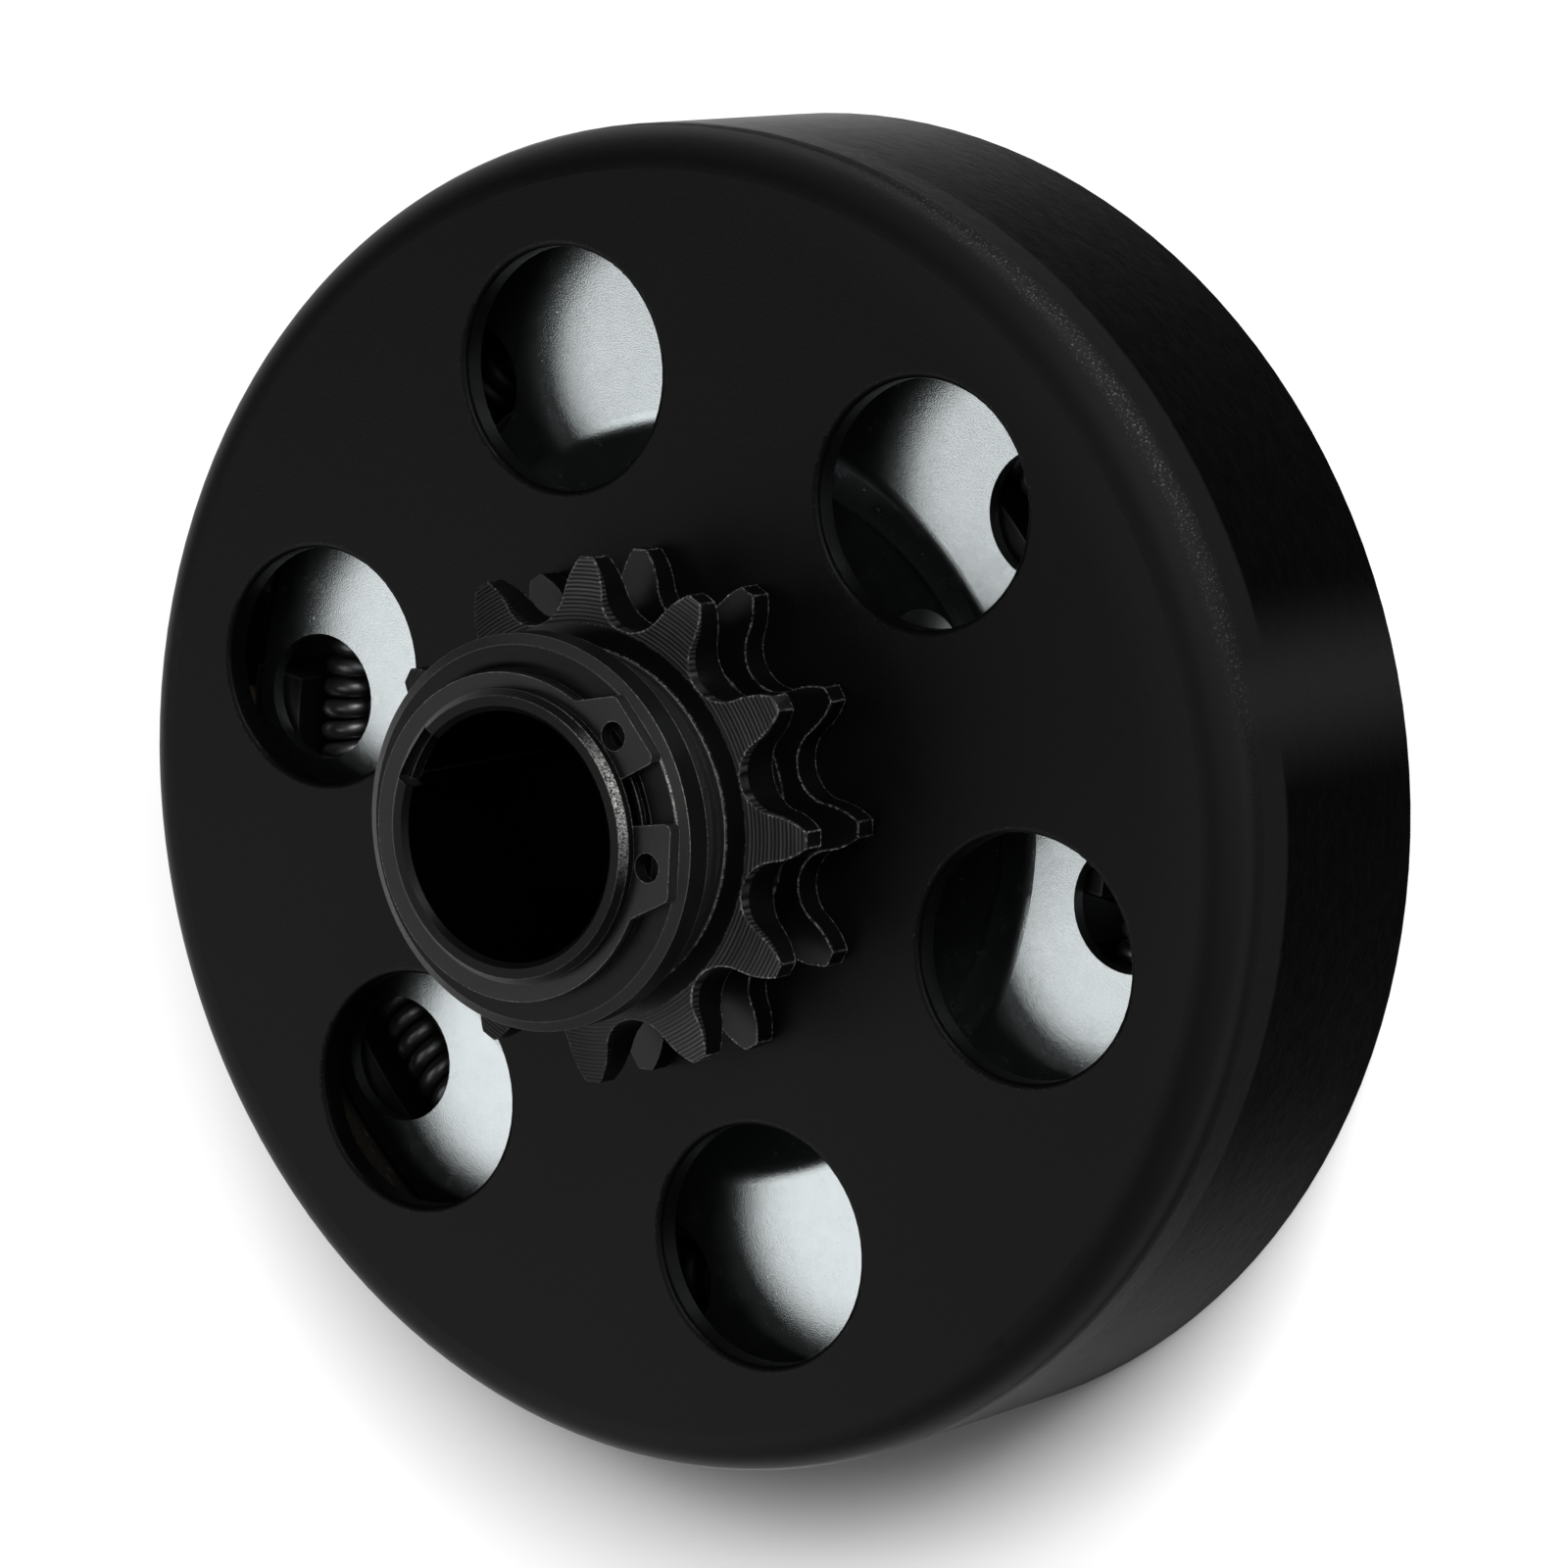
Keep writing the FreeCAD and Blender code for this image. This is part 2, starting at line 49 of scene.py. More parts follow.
# Camera as in the photograph: angles in degrees, and the point on the drum's face that the lens aims at
photo_pixels = 1600
focal_length_pixels = 6964.0
principal_point_pixels = (796.9, 888.6)
sensor_width_mm = 36.0
view_azimuth = 89.104
view_elevation = 53.596
view_roll = -101.942
view_distance = 520.58 * MM
view_target = Vector((10.0, -6.87, 24.5)) * MM
clip_near = 0.05
clip_far = 30.0

# Lamps: name, direction from the drum's face, distance, width and height in metres, and radiance
piece_lamps = (
    ("key_box", (-0.75, -0.27, 0.66), 0.60, 0.62, 0.62, 1.12),
    ("near_box", (0.75, 0.10, 0.60), 0.70, 0.60, 0.60, 1.0),
    ("ahead_box", (-0.15, 0.08, 0.98), 0.70, 0.07, 0.32, 2.2),
    ("edge_box", (0.68, 0.47, 0.55), 0.70, 0.16, 0.16, 11.0),
)
floor_lamp = ("floor_box", (0.47, 0.31, 0.85), 0.70, 0.35, 0.35, 22.0)
world_strength = 0.04

# Floor: half width in metres, depth under the drum's rim, and how much paler it is far from the clutch
floor_half_width = 6.0
floor_depth = 0.05 * MM
lit_paper = (0.60, 0.60, 0.60)
seen_paper = (0.80, 0.80, 0.80)
glow_start_mm = 70.0
glow_end_mm = 110.0
near_glow = 0.06
far_glow = 0.60


def box_mm(node_name):
    """Lowest and highest corner of a node, in millimetres."""
    return [corner * PER_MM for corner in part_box(node_name)]


# Sizes that the materials follow, in millimetres
drum_top = box_mm("drum")[1]
drum_radius = drum_top.x
drum_face_z = drum_top.z
window_radius = 9.45
window_circle_radius = 34.7
window_count = 6
sprocket_front_z = 34.45
bevel_start_radius = 15.3
boss_radius = 13.7
bore_radius = 9.535
tube_radius = 11.2
hub_front_z = box_mm("hub")[1].z
washer_top = box_mm("front_washer")[1]
washer_radius = washer_top.x
washer_front_z = washer_top.z

# Garter spring: a close coil of round wire bent into a ring
spring_low, spring_high = box_mm("garter_spring")
spring_coil_radius = (spring_high.z - spring_low.z) / 2
spring_ring_radius = spring_high.x - spring_coil_radius
spring_z = (spring_high.z + spring_low.z) / 2
spring_wire_diameter = 1.58
spring_turns = 140
spring_steps_per_turn = 22
spring_wire_sides = 10


def scaled_tone(tone, factor):
    """Colour with all its channels made stronger or weaker."""
    return tuple(channel * factor for channel in tone)


class Shader:
    """One node material, built step by step. Lengths are millimetres in the object's own frame."""

    def __init__(self, name):
        self.material = bpy.data.materials.new(name)
        self.material.use_nodes = True
        self.tree = self.material.node_tree
        self.tree.nodes.clear()
        scaled = self.add("ShaderNodeVectorMath", operation="SCALE")
        self.link(self.add("ShaderNodeTexCoord").outputs["Object"], scaled.inputs[0])
        scaled.inputs["Scale"].default_value = PER_MM
        self.place = scaled.outputs[0]
        split = self.add("ShaderNodeSeparateXYZ")
        self.link(self.place, split.inputs[0])
        self.x, self.y, self.z = split.outputs
        self.normal = None

    def add(self, kind, **settings):
        """New node of a kind."""
        node = self.tree.nodes.new(kind)
        for key, value in settings.items():
            setattr(node, key, value)
        return node

    def link(self, source, target):
        """Links two sockets."""
        self.tree.links.new(source, target)

    def feed(self, source, target):
        """Links a socket, or sets a plain value."""
        if isinstance(source, bpy.types.NodeSocket):
            self.link(source, target)
        else:
            target.default_value = source

    def math(self, operation, *values, clamp=False):
        """Result of one operation on numbers."""
        node = self.add("ShaderNodeMath", operation=operation, use_clamp=clamp)
        for number, value in enumerate(values):
            self.feed(value, node.inputs[number])
        return node.outputs[0]

    def product(self, first, *others):
        """All the values multiplied."""
        result = first
        for value in others:
            result = self.math("MULTIPLY", result, value)
        return result

    def hypotenuse(self, one, other):
        """Long side of a triangle with a right angle between two sides."""
        squares = [self.math("POWER", side, 2.0) for side in (one, other)]
        return self.math("SQRT", self.math("ADD", *squares))

    def ramp(self, value, low, high, to_low=0.0, to_high=1.0):
        """Smooth step of a value between two limits."""
        node = self.add("ShaderNodeMapRange", interpolation_type="SMOOTHSTEP")
        for number, given in enumerate((value, low, high, to_low, to_high)):
            self.feed(given, node.inputs[number])
        return node.outputs[0]

    def fall(self, value, low, high):
        """One under the low limit, falling smoothly to zero at the high one."""
        return self.ramp(value, low, high, 1.0, 0.0)

    def near(self, value, limit, full, none):
        """One where a value is at most `full` below a limit, falling to zero at `none` below it."""
        return self.ramp(value, limit - none, limit - full)

    def band(self, value, centre, half_width):
        """One at a centre value, falling smoothly to zero at a half width from it."""
        away = self.math("ABSOLUTE", self.math("SUBTRACT", value, centre))
        return self.fall(away, 0.0, half_width)

    def sector(self, middle, half_width):
        """Band round the shaft, in degrees."""
        return self.band(self.angle(), math.radians(middle), math.radians(half_width))

    def radius(self):
        """Distance from the shaft axis."""
        return self.hypotenuse(self.x, self.y)

    def angle(self):
        """Angle round the shaft axis, in radians."""
        return self.math("ARCTAN2", self.y, self.x)

    def stretched(self, across, around, along):
        """Coordinates for streaks round the shaft: one unit's size across, round and along the shaft."""
        arc = self.math("MULTIPLY", self.angle(), drum_radius)
        node = self.add("ShaderNodeCombineXYZ")
        for number, (value, size) in enumerate(((self.radius(), across), (arc, around), (self.z, along))):
            self.link(self.math("DIVIDE", value, size), node.inputs[number])
        return node.outputs[0]

    def noise(self, size, detail=2.0, roughness=0.5, at=None):
        """Noise whose grains are about a size in millimetres, or one unit of other coordinates."""
        node = self.add("ShaderNodeTexNoise")
        self.link(at or self.place, node.inputs["Vector"])
        node.inputs["Scale"].default_value = 1.0 / size
        node.inputs["Detail"].default_value = detail
        node.inputs["Roughness"].default_value = roughness
        return node.outputs["Fac"]

    def mix(self, share, one, other):
        """Colour between two colours."""
        node = self.add("ShaderNodeMix", data_type="RGBA")
        self.feed(share, node.inputs["Factor"])
        for socket, colour in ((node.inputs["A"], one), (node.inputs["B"], other)):
            if not isinstance(colour, bpy.types.NodeSocket):
                colour = (*colour, 1.0)
            self.feed(colour, socket)
        return node.outputs["Result"]

    def blend(self, share, one, other):
        """Number between two numbers."""
        node = self.add("ShaderNodeMix", data_type="FLOAT")
        self.feed(share, node.inputs["Factor"])
        self.feed(one, node.inputs["A"])
        self.feed(other, node.inputs["B"])
        return node.outputs["Result"]

    def bump(self, height, depth_mm):
        """Adds relief of a depth in millimetres to what was added before."""
        node = self.add("ShaderNodeBump")
        node.inputs["Distance"].default_value = depth_mm * MM
        self.link(height, node.inputs["Height"])
        if self.normal is not None:
            self.link(self.normal, node.inputs["Normal"])
        self.normal = node.outputs["Normal"]

    def edges(self, width_mm, sharpness=0.02, samples=6):
        """One along the piece's edges, within a width, and zero on its faces."""
        rounded = self.add("ShaderNodeBevel", samples=samples)
        rounded.inputs["Radius"].default_value = width_mm * MM
        geometry = self.add("ShaderNodeNewGeometry")
        same = self.add("ShaderNodeVectorMath", operation="DOT_PRODUCT")
        self.link(rounded.outputs[0], same.inputs[0])
        self.link(geometry.outputs["Normal"], same.inputs[1])
        away = self.math("SUBTRACT", 1.0, same.outputs["Value"])
        return self.ramp(away, 0.0, sharpness)

    def show(self, surface):
        """Makes a shader the surface, and returns the material."""
        output = self.add("ShaderNodeOutputMaterial")
        self.link(surface, output.inputs["Surface"])
        return self.material

    def finish(self, colour, roughness, metallic=0.0, specular=None, ior=None):
        """Makes one surface of the colour, the gloss and the relief, and returns the material."""
        surface = self.add("ShaderNodeBsdfPrincipled")
        self.feed(colour, surface.inputs["Base Color"])
        self.feed(roughness, surface.inputs["Roughness"])
        self.feed(metallic, surface.inputs["Metallic"])
        if specular is not None:
            self.feed(specular, surface.inputs["Specular IOR Level"])
        if ior is not None:
            surface.inputs["IOR"].default_value = ior
        if self.normal is not None:
            self.link(self.normal, surface.inputs["Normal"])
        return self.show(surface.outputs["BSDF"])


class BlackSteel(Shader):
    """Blackened steel with scratches round the shaft and bright, nicked edges. Pieces add their marks."""

    scratch_share = 0.4
    nick_depth = 0.008
    edge_nick_depth = 0.05
    edge_roughness = 0.32
    edge_metal = 0.65

    def __init__(self, name, tone, roughness, roughness_spread=0.06):
        super().__init__(name)
        cloud = self.noise(2.2, detail=3.0, roughness=0.6)
        self.nicks = self.noise(0.16, detail=4.0, roughness=0.8)
        streaks = self.noise(1.0, detail=3.0, roughness=0.6, at=self.stretched(0.10, 5.0, 0.10))
        scratches = self.ramp(streaks, 0.60, 0.74)
        body = self.mix(cloud, scaled_tone(tone, 0.6), tone)
        self.body = self.mix(self.product(scratches, self.scratch_share), body, scaled_tone(tone, 3.0))
        self.rough = self.blend(cloud, roughness - roughness_spread, roughness + roughness_spread)
        self.bump(self.nicks, self.nick_depth)

    def nicked(self, low, high, least=0.0):
        """One where the nicks are strong, and at least a share elsewhere."""
        return self.ramp(self.nicks, low, high, least, 1.0)

    def nicked_edges(self, width_mm):
        """Edges within a width, broken by nicks."""
        return self.product(self.edges(width_mm), self.nicked(0.40, 0.60, least=0.05))

    def with_edges(self, edge, edge_tone, gloss):
        """Joins the bright edges to the body, and returns the material. Nicks along the edges sparkle."""
        self.bump(self.product(edge, self.nicks), self.edge_nick_depth)
        colour = self.mix(edge, self.body, edge_tone)
        rough = self.blend(edge, self.rough, self.edge_roughness)
        metallic = self.product(edge, self.edge_metal)
        return self.finish(colour, rough, metallic=metallic, specular=gloss)


def window_reach(s):
    """Distance from the middle of the nearest window of the drum, in millimetres."""
    step = math.tau / window_count
    folded = s.math("SUBTRACT", s.math("WRAP", s.angle(), step, 0.0), step / 2)
    radius = s.radius()
    along = s.math("SUBTRACT", s.product(radius, s.math("COSINE", folded)), window_circle_radius)
    across = s.product(radius, s.math("SINE", folded))
    return s.hypotenuse(along, across)


def drum_black():
    """Satin black coat: orange peel on the face, mottled side, a worn front edge with bare specks, and
    painted light: shade on one half of the side, highlights on the side, on its rounded edge and on the
    face near the rim.
    """
    face_dark = (0.0020, 0.0020, 0.0021)
    face_pale = (0.0032, 0.0032, 0.0033)
    face_rim_sheen = (0.0085, 0.0085, 0.0084)
    side_pale = (0.0060, 0.0060, 0.0061)
    side_shade_tone = (0.0008, 0.0008, 0.0008)
    side_highlight_tone = (0.020, 0.020, 0.0197)
    edge_wear_and_highlight = (0.028, 0.028, 0.0276)
    wall_coat = (0.004, 0.004, 0.004)
    bare_steel_and_glint = (0.34, 0.335, 0.33)
    face_roughness = 0.50
    wear_and_highlight_roughness = 0.40
    bare_roughness = 0.22
    side_roughness = 0.24
    wall_roughness = 0.26
    face_gloss = 0.86
    corner_gloss = 0.40
    pale_side_gloss = 0.60
    wall_gloss = 0.40
    bare_gloss = 1.0
    coat_ior = 1.2
    wear_and_highlight_line_depth = 2.4
    wear_and_highlight_line_half_width = 1.5
    rim_line_radius = window_radius + 0.42
    rim_line_half_width = 0.22

    s = Shader("drum_black")
    radius = s.radius()
    reach = window_reach(s)
    cloud = s.noise(9.0)
    leather = s.noise(1.0, detail=4.0, roughness=0.65, at=s.stretched(1.0, 1.3, 0.9))
    flecks = s.ramp(s.noise(0.20, detail=4.0, roughness=0.8), 0.56, 0.68)

    # Places on the drum, from its side to its windows, the marks of wear, and the painted light
    side = s.near(radius, drum_radius, full=0.1, none=0.5)
    corner = s.near(radius, drum_radius, full=1.2, none=3.0)
    # Painted highlight: a pale band round the top of the side by the rounded edge, and a painted
    # reflection strip down the side near -2.5 degrees
    lit_shoulder = s.product(corner, s.near(s.z, drum_face_z, full=6.4, none=6.9))
    strip = s.product(side, s.sector(middle=-2.5, half_width=9.0))
    # Painted shade: the half of the side towards +x is coloured nearly black, as if in shade
    shaded_half = s.ramp(s.x, -16.0, 8.0)
    wall = s.product(s.fall(reach, window_radius + 0.03, window_radius + 0.2),
                     s.fall(radius, drum_radius - 4.0, drum_radius - 3.0))
    # Painted highlight: a paler band on the face near the rim, only on the side where the light falls
    rim_sheen = s.product(s.near(radius, drum_radius, full=3.5, none=9.0),
                       s.near(s.z, drum_face_z, full=0.9, none=2.6),
                       s.sector(middle=15.0, half_width=75.0))
    # Partly wear and partly painted highlight: a pale line with bare specks round the rounded edge, only
    # in the sector where the light falls
    wear_and_highlight_line = s.product(s.band(s.z, drum_face_z - wear_and_highlight_line_depth, wear_and_highlight_line_half_width),
                          s.sector(middle=24.0, half_width=40.0),
                          s.near(radius, drum_radius, full=1.2, none=1.8))
    rim_line = s.product(s.band(reach, rim_line_radius, rim_line_half_width),
                         s.near(s.z, drum_face_z, full=0.2, none=0.5))
    bare = s.product(s.math("MAXIMUM", wear_and_highlight_line, s.product(rim_line, 0.2)), flecks)

    # Each line lays one tone over those before it
    colour = s.mix(cloud, face_dark, face_pale)
    colour = s.mix(rim_sheen, colour, face_rim_sheen)
    colour = s.mix(side, colour, s.mix(shaded_half, side_pale, side_shade_tone))
    colour = s.mix(s.math("MAXIMUM", s.product(lit_shoulder, 0.65), strip), colour, side_highlight_tone)
    colour = s.mix(wear_and_highlight_line, colour, edge_wear_and_highlight)
    colour = s.mix(wall, colour, wall_coat)
    colour = s.mix(bare, colour, bare_steel_and_glint)

    s.bump(s.noise(0.22, detail=3.0, roughness=0.65), depth_mm=0.020)
    s.bump(s.product(side, leather), depth_mm=0.045)

    rough = s.blend(wear_and_highlight_line, face_roughness, wear_and_highlight_roughness)
    rough = s.blend(bare, rough, bare_roughness)
    rough = s.blend(side, rough, side_roughness)
    rough = s.blend(wall, rough, wall_roughness)

    low_gloss = s.ramp(s.y, -30.0, -50.0, 0.0, 0.030)
    shaded_side_gloss = s.math("ADD", s.blend(leather, 0.004, 0.020), low_gloss)
    gloss = s.blend(corner, face_gloss, corner_gloss)
    gloss = s.blend(side, gloss, s.blend(shaded_half, pale_side_gloss, shaded_side_gloss))
    gloss = s.blend(wall, gloss, wall_gloss)
    gloss = s.blend(bare, gloss, bare_gloss)
    return s.finish(colour, rough, specular=gloss, ior=coat_ior)


def sprocket_black():
    """Blackened, with lathe grooves on the bevel of the teeth, a turned boss and bright, broken edges,
    and painted light: highlights on the groove crests, edges and boss foot, shade towards -x.
    """
    groove_bottom = (0.001, 0.001, 0.001)
    groove_crest_highlight = (0.130, 0.129, 0.127)
    boss_dark = (0.014, 0.014, 0.0142)
    boss_pale = (0.050, 0.050, 0.049)
    bare_steel_and_glint = (0.95, 0.94, 0.92)
    groove_width = 0.155
    groove_depth = 0.30
    foot_height = 0.12
    body_gloss = 0.30
    boss_gloss = 0.5

    s = BlackSteel("sprocket_black", tone=(0.0060, 0.0060, 0.0062), roughness=0.30)
    radius = s.radius()
    bevel = s.product(s.near(s.z, sprocket_front_z, full=1.05, none=1.15),
                      s.ramp(radius, bevel_start_radius, bevel_start_radius + 0.1),
                      s.fall(s.z, sprocket_front_z, sprocket_front_z + 0.05))
    boss = s.ramp(s.z, sprocket_front_z + 0.1, sprocket_front_z + 0.3)
    # Painted highlight: a bright line at the foot of the boss, on the side where the light falls
    foot = s.product(s.band(s.z, sprocket_front_z + foot_height, foot_height),
                     s.fall(radius, boss_radius, boss_radius + 0.1),
                     s.sector(middle=5.0, half_width=85.0))

    lines = s.math("PINGPONG", radius, groove_width)
    s.bump(s.product(lines, bevel), groove_depth)
    tool_marks = s.noise(1.0, detail=3.0, roughness=0.75, at=s.stretched(0.20, 40.0, 4.0))
    cuts = s.blend(s.ramp(tool_marks, 0.38, 0.66), 3.0, 6.5)
    # Painted highlight on the crests of the lathe grooves, and painted shade: the grooves fade to the
    # dark bottom tone towards -x
    groove = s.product(s.math("MULTIPLY", lines, cuts, clamp=True), s.ramp(s.x, -6.0, 12.0, 0.2, 1.0))
    s.body = s.mix(bevel, s.body, s.mix(groove, groove_bottom, groove_crest_highlight))
    rings = s.noise(1.0, detail=3.0, roughness=0.75, at=s.stretched(4.0, 40.0, 0.22))
    turned = s.product(s.ramp(rings, 0.36, 0.66), s.nicked(0.42, 0.58))
    s.body = s.mix(boss, s.body, s.mix(turned, boss_dark, boss_pale))

    patches = s.noise(0.55, detail=3.0, roughness=0.7)
    # Bright edges are partly wear and partly painted highlight; towards -x they are dimmed as painted
    # shade
    edge = s.product(s.edges(width_mm=0.24),
                     s.nicked(0.46, 0.56),
                     s.ramp(patches, 0.42, 0.60, 0.10, 1.0),
                     s.ramp(s.x, -6.0, 8.0, 0.15, 1.0))
    edge = s.math("MAXIMUM", edge, s.product(foot, s.nicked(0.38, 0.52)))
    bevel_gloss = s.ramp(s.x, -9.0, 9.0, 0.12, 0.45)
    gloss = s.blend(boss, s.blend(bevel, body_gloss, bevel_gloss), boss_gloss)
    return s.with_edges(edge, bare_steel_and_glint, gloss)


def hub_black():
    """Blackened tube with scratches at its end. The bore and keyway are painted dark as shade, but the
    keyway's front is painted paler where light reaches it; the edges carry painted highlights.
    """
    lit_mouth_tone = (0.02, 0.02, 0.02)
    bore_shade_tone = (0.0006, 0.0006, 0.0006)
    edge_in_shade = (0.35, 0.345, 0.34)
    edge_in_light = (0.90, 0.89, 0.87)
    tube_gloss = 0.12
    bore_gloss = 0.02
    keyway_reach = 1.3
    mouth_half_height = 0.75
    mouth_depth = 1.0

    s = BlackSteel("hub_black", tone=(0.009, 0.009, 0.0093), roughness=0.34)
    radius = s.radius()
    # Painted shade: the bore and the keyway past its mouth are coloured near black
    bore = s.product(s.fall(radius, bore_radius + 0.03, bore_radius + 0.12),
                     s.fall(s.z, hub_front_z - 0.5, hub_front_z - 0.4))
    keyway_radius = bore_radius + keyway_reach
    keyway = s.product(s.fall(radius, keyway_radius - 0.05, keyway_radius + 0.05),
                       s.fall(s.z, hub_front_z - 2.2, hub_front_z - 1.5))
    inside = s.math("MAXIMUM", bore, keyway)
    # Painted light: the keyway's floor and the bore's edge next to the front are paler, where light
    # reaches them
    mouth = s.product(s.band(radius, bore_radius + mouth_half_height, mouth_half_height),
                      s.band(s.z, hub_front_z - mouth_depth, mouth_depth))
    s.body = s.mix(s.ramp(mouth, 0.05, 0.25), s.body, lit_mouth_tone)
    s.body = s.mix(inside, s.body, bore_shade_tone)

    # Painted highlight: edges are brighter in a sector round 12 degrees, and dimmer elsewhere and next to
    # the bore as painted shade
    bright = s.sector(middle=12.0, half_width=60.0)
    edge = s.product(s.nicked_edges(width_mm=0.12),
                     s.math("SUBTRACT", 1.0, inside),
                     s.ramp(radius, bore_radius + 0.5, bore_radius + 0.8, 0.06, 1.0),
                     s.blend(bright, 0.3, 1.0))
    # Painted highlight: a bright, broken streak on the tube's outer chamfer near 3 degrees
    chamfer = s.product(s.near(radius, tube_radius, full=0.45, none=0.60),
                        s.near(s.z, hub_front_z, full=0.50, none=0.60),
                        s.sector(middle=3.0, half_width=36.0))
    edge = s.math("MAXIMUM", edge, s.product(chamfer, s.nicked(0.42, 0.54)))
    gloss = s.blend(inside, tube_gloss, bore_gloss)
    return s.with_edges(edge, s.mix(bright, edge_in_shade, edge_in_light), gloss)


def washer_black():
    """Blackened washer: turned circles on its face, and painted light: a highlight on the chamfer, on its
    edges and border, and a painted shadow crescent above the tube.
    """
    chamfer_highlight_tone = (0.044, 0.044, 0.0435)
    shade_tone = (0.0004, 0.0004, 0.0004)
    edge_in_shade = (0.42, 0.41, 0.40)
    edge_in_light = (0.90, 0.89, 0.87)
    face_gloss = 0.17
    shade_gloss = 0.02
    shade_radius = 12.75
    shade_half_width = 0.50
    border_radius = washer_radius - 0.80
    border_half_width = 0.16

    s = BlackSteel("washer_black", tone=(0.0070, 0.0070, 0.0072), roughness=0.38)
    radius = s.radius()
    # Painted highlight: the outer chamfer is paler on the +x side only
    chamfer = s.product(s.near(radius, washer_radius, full=0.75, none=0.85),
                        s.near(s.z, washer_front_z, full=0.48, none=0.55),
                        s.ramp(s.x, -6.0, 6.0))
    s.body = s.mix(chamfer, s.body, chamfer_highlight_tone)
    shade = s.product(s.band(radius, shade_radius, shade_half_width),
                      s.sector(middle=84.0, half_width=46.0))
    s.body = s.mix(shade, s.body, shade_tone)

    # Painted highlight: edges are brighter in a sector round 4 degrees, with a bright broken line on the
    # border near 2 degrees
    bright = s.sector(middle=4.0, half_width=50.0)
    edge = s.product(s.nicked_edges(width_mm=0.12), s.blend(bright, 0.4, 1.0))
    border = s.product(s.band(radius, border_radius, border_half_width),
                       s.near(s.z, washer_front_z, full=0.1, none=0.2),
                       s.sector(middle=2.0, half_width=42.0))
    edge = s.math("MAXIMUM", edge, s.product(border, s.nicked(0.42, 0.56)))
    circles = s.noise(1.0, detail=3.0, roughness=0.7, at=s.stretched(0.16, 30.0, 0.3))
    s.bump(circles, depth_mm=0.02)
    gloss = s.blend(shade, face_gloss, shade_gloss)
    return s.with_edges(edge, s.mix(bright, edge_in_shade, edge_in_light), gloss)


def ring_black():
    """Phosphated spring steel, smooth and a little paler than the rest."""
    s = BlackSteel("ring_black", tone=(0.0120, 0.0120, 0.0123), roughness=0.42)
    return s.with_edges(s.nicked_edges(width_mm=0.09), edge_tone=(0.60, 0.59, 0.57), gloss=0.38)


def zinc(name, tone, roughness, roughness_spread=0.04):
    """Bluish zinc plating with a fine, sparkling orange peel."""
    s = Shader(name)
    colour = s.mix(s.noise(6.0), tone, scaled_tone(tone, 1.05))
    s.bump(s.noise(0.12, detail=2.0, roughness=0.6), depth_mm=0.020)
    smears = s.noise(1.4, detail=3.0)
    rough = s.blend(smears, roughness - roughness_spread, roughness + roughness_spread)
    return s.finish(colour, rough, metallic=1.0)


def bronze():
    """Oiled sintered bronze with open pores."""
    bronze_tone = (0.36, 0.21, 0.09)
    pore_tone = (0.10, 0.055, 0.025)

    s = Shader("bronze")
    pores = s.ramp(s.noise(0.25, detail=3.0, roughness=0.7), 0.55, 0.68)
    colour = s.mix(pores, bronze_tone, pore_tone)
    s.bump(pores, depth_mm=0.02)
    return s.finish(colour, s.blend(pores, 0.38, 0.6), metallic=0.9)


def shoe_iron():
    """Sintered iron: grey, grainy, with pressed faces a little brighter at their edges."""
    grain_dark = (0.010, 0.010, 0.0103)
    grain_pale = (0.028, 0.028, 0.0285)
    stain = (0.018, 0.017, 0.016)
    edge_tone = (0.08, 0.078, 0.076)

    s = Shader("shoe_iron")
    grain = s.noise(0.35, detail=4.0, roughness=0.75)
    colour = s.mix(grain, grain_dark, grain_pale)
    colour = s.mix(s.product(s.noise(5.0), 0.4), colour, stain)
    colour = s.mix(s.product(s.edges(width_mm=0.35), 0.6), colour, edge_tone)
    s.bump(grain, depth_mm=0.03)
    return s.finish(colour, s.blend(grain, 0.42, 0.62), metallic=0.75)


def lining():
    """Moulded friction material: brown grey with pale fibres and dark grains."""
    grain_dark = (0.026, 0.022, 0.018)
    grain_pale = (0.085, 0.068, 0.052)
    fibre_tone = (0.26, 0.21, 0.14)

    s = Shader("lining")
    grain = s.noise(0.4, detail=4.0, roughness=0.8)
    streaks = s.noise(1.0, detail=3.0, roughness=0.6, at=s.stretched(0.3, 1.6, 0.3))
    fibres = s.ramp(streaks, 0.60, 0.70)
    colour = s.mix(grain, grain_dark, grain_pale)
    colour = s.mix(s.product(fibres, 0.6), colour, fibre_tone)
    s.bump(grain, depth_mm=0.05)
    return s.finish(colour, s.blend(grain, 0.75, 0.95), specular=0.25)


def spring_steel():
    """Oil tempered wire with faint drawing marks, painted dark as shade in two places."""
    wire_dark = (0.15, 0.15, 0.155)
    wire_pale = (0.27, 0.27, 0.28)
    coil_shade_tone = (0.010, 0.010, 0.010)
    coil_shade_angle = math.radians(112.5)
    coil_shade_half_angle = math.radians(16.0)

    s = Shader("spring_steel")
    cloud = s.noise(1.5, detail=3.0, roughness=0.6)
    # Painted shade: the coil is made near black in two sectors round plus and minus 112.5 degrees
    shaded_coil = s.ramp(s.band(s.math("ABSOLUTE", s.angle()), coil_shade_angle, coil_shade_half_angle), 0.0, 0.5)
    colour = s.mix(cloud, wire_dark, wire_pale)
    colour = s.mix(shaded_coil, colour, coil_shade_tone)
    s.bump(s.noise(0.12, detail=3.0, roughness=0.7), depth_mm=0.006)
    rough = s.blend(cloud, 0.32, 0.44)
    return s.finish(colour, s.blend(shaded_coil, rough, 0.6), metallic=0.95)


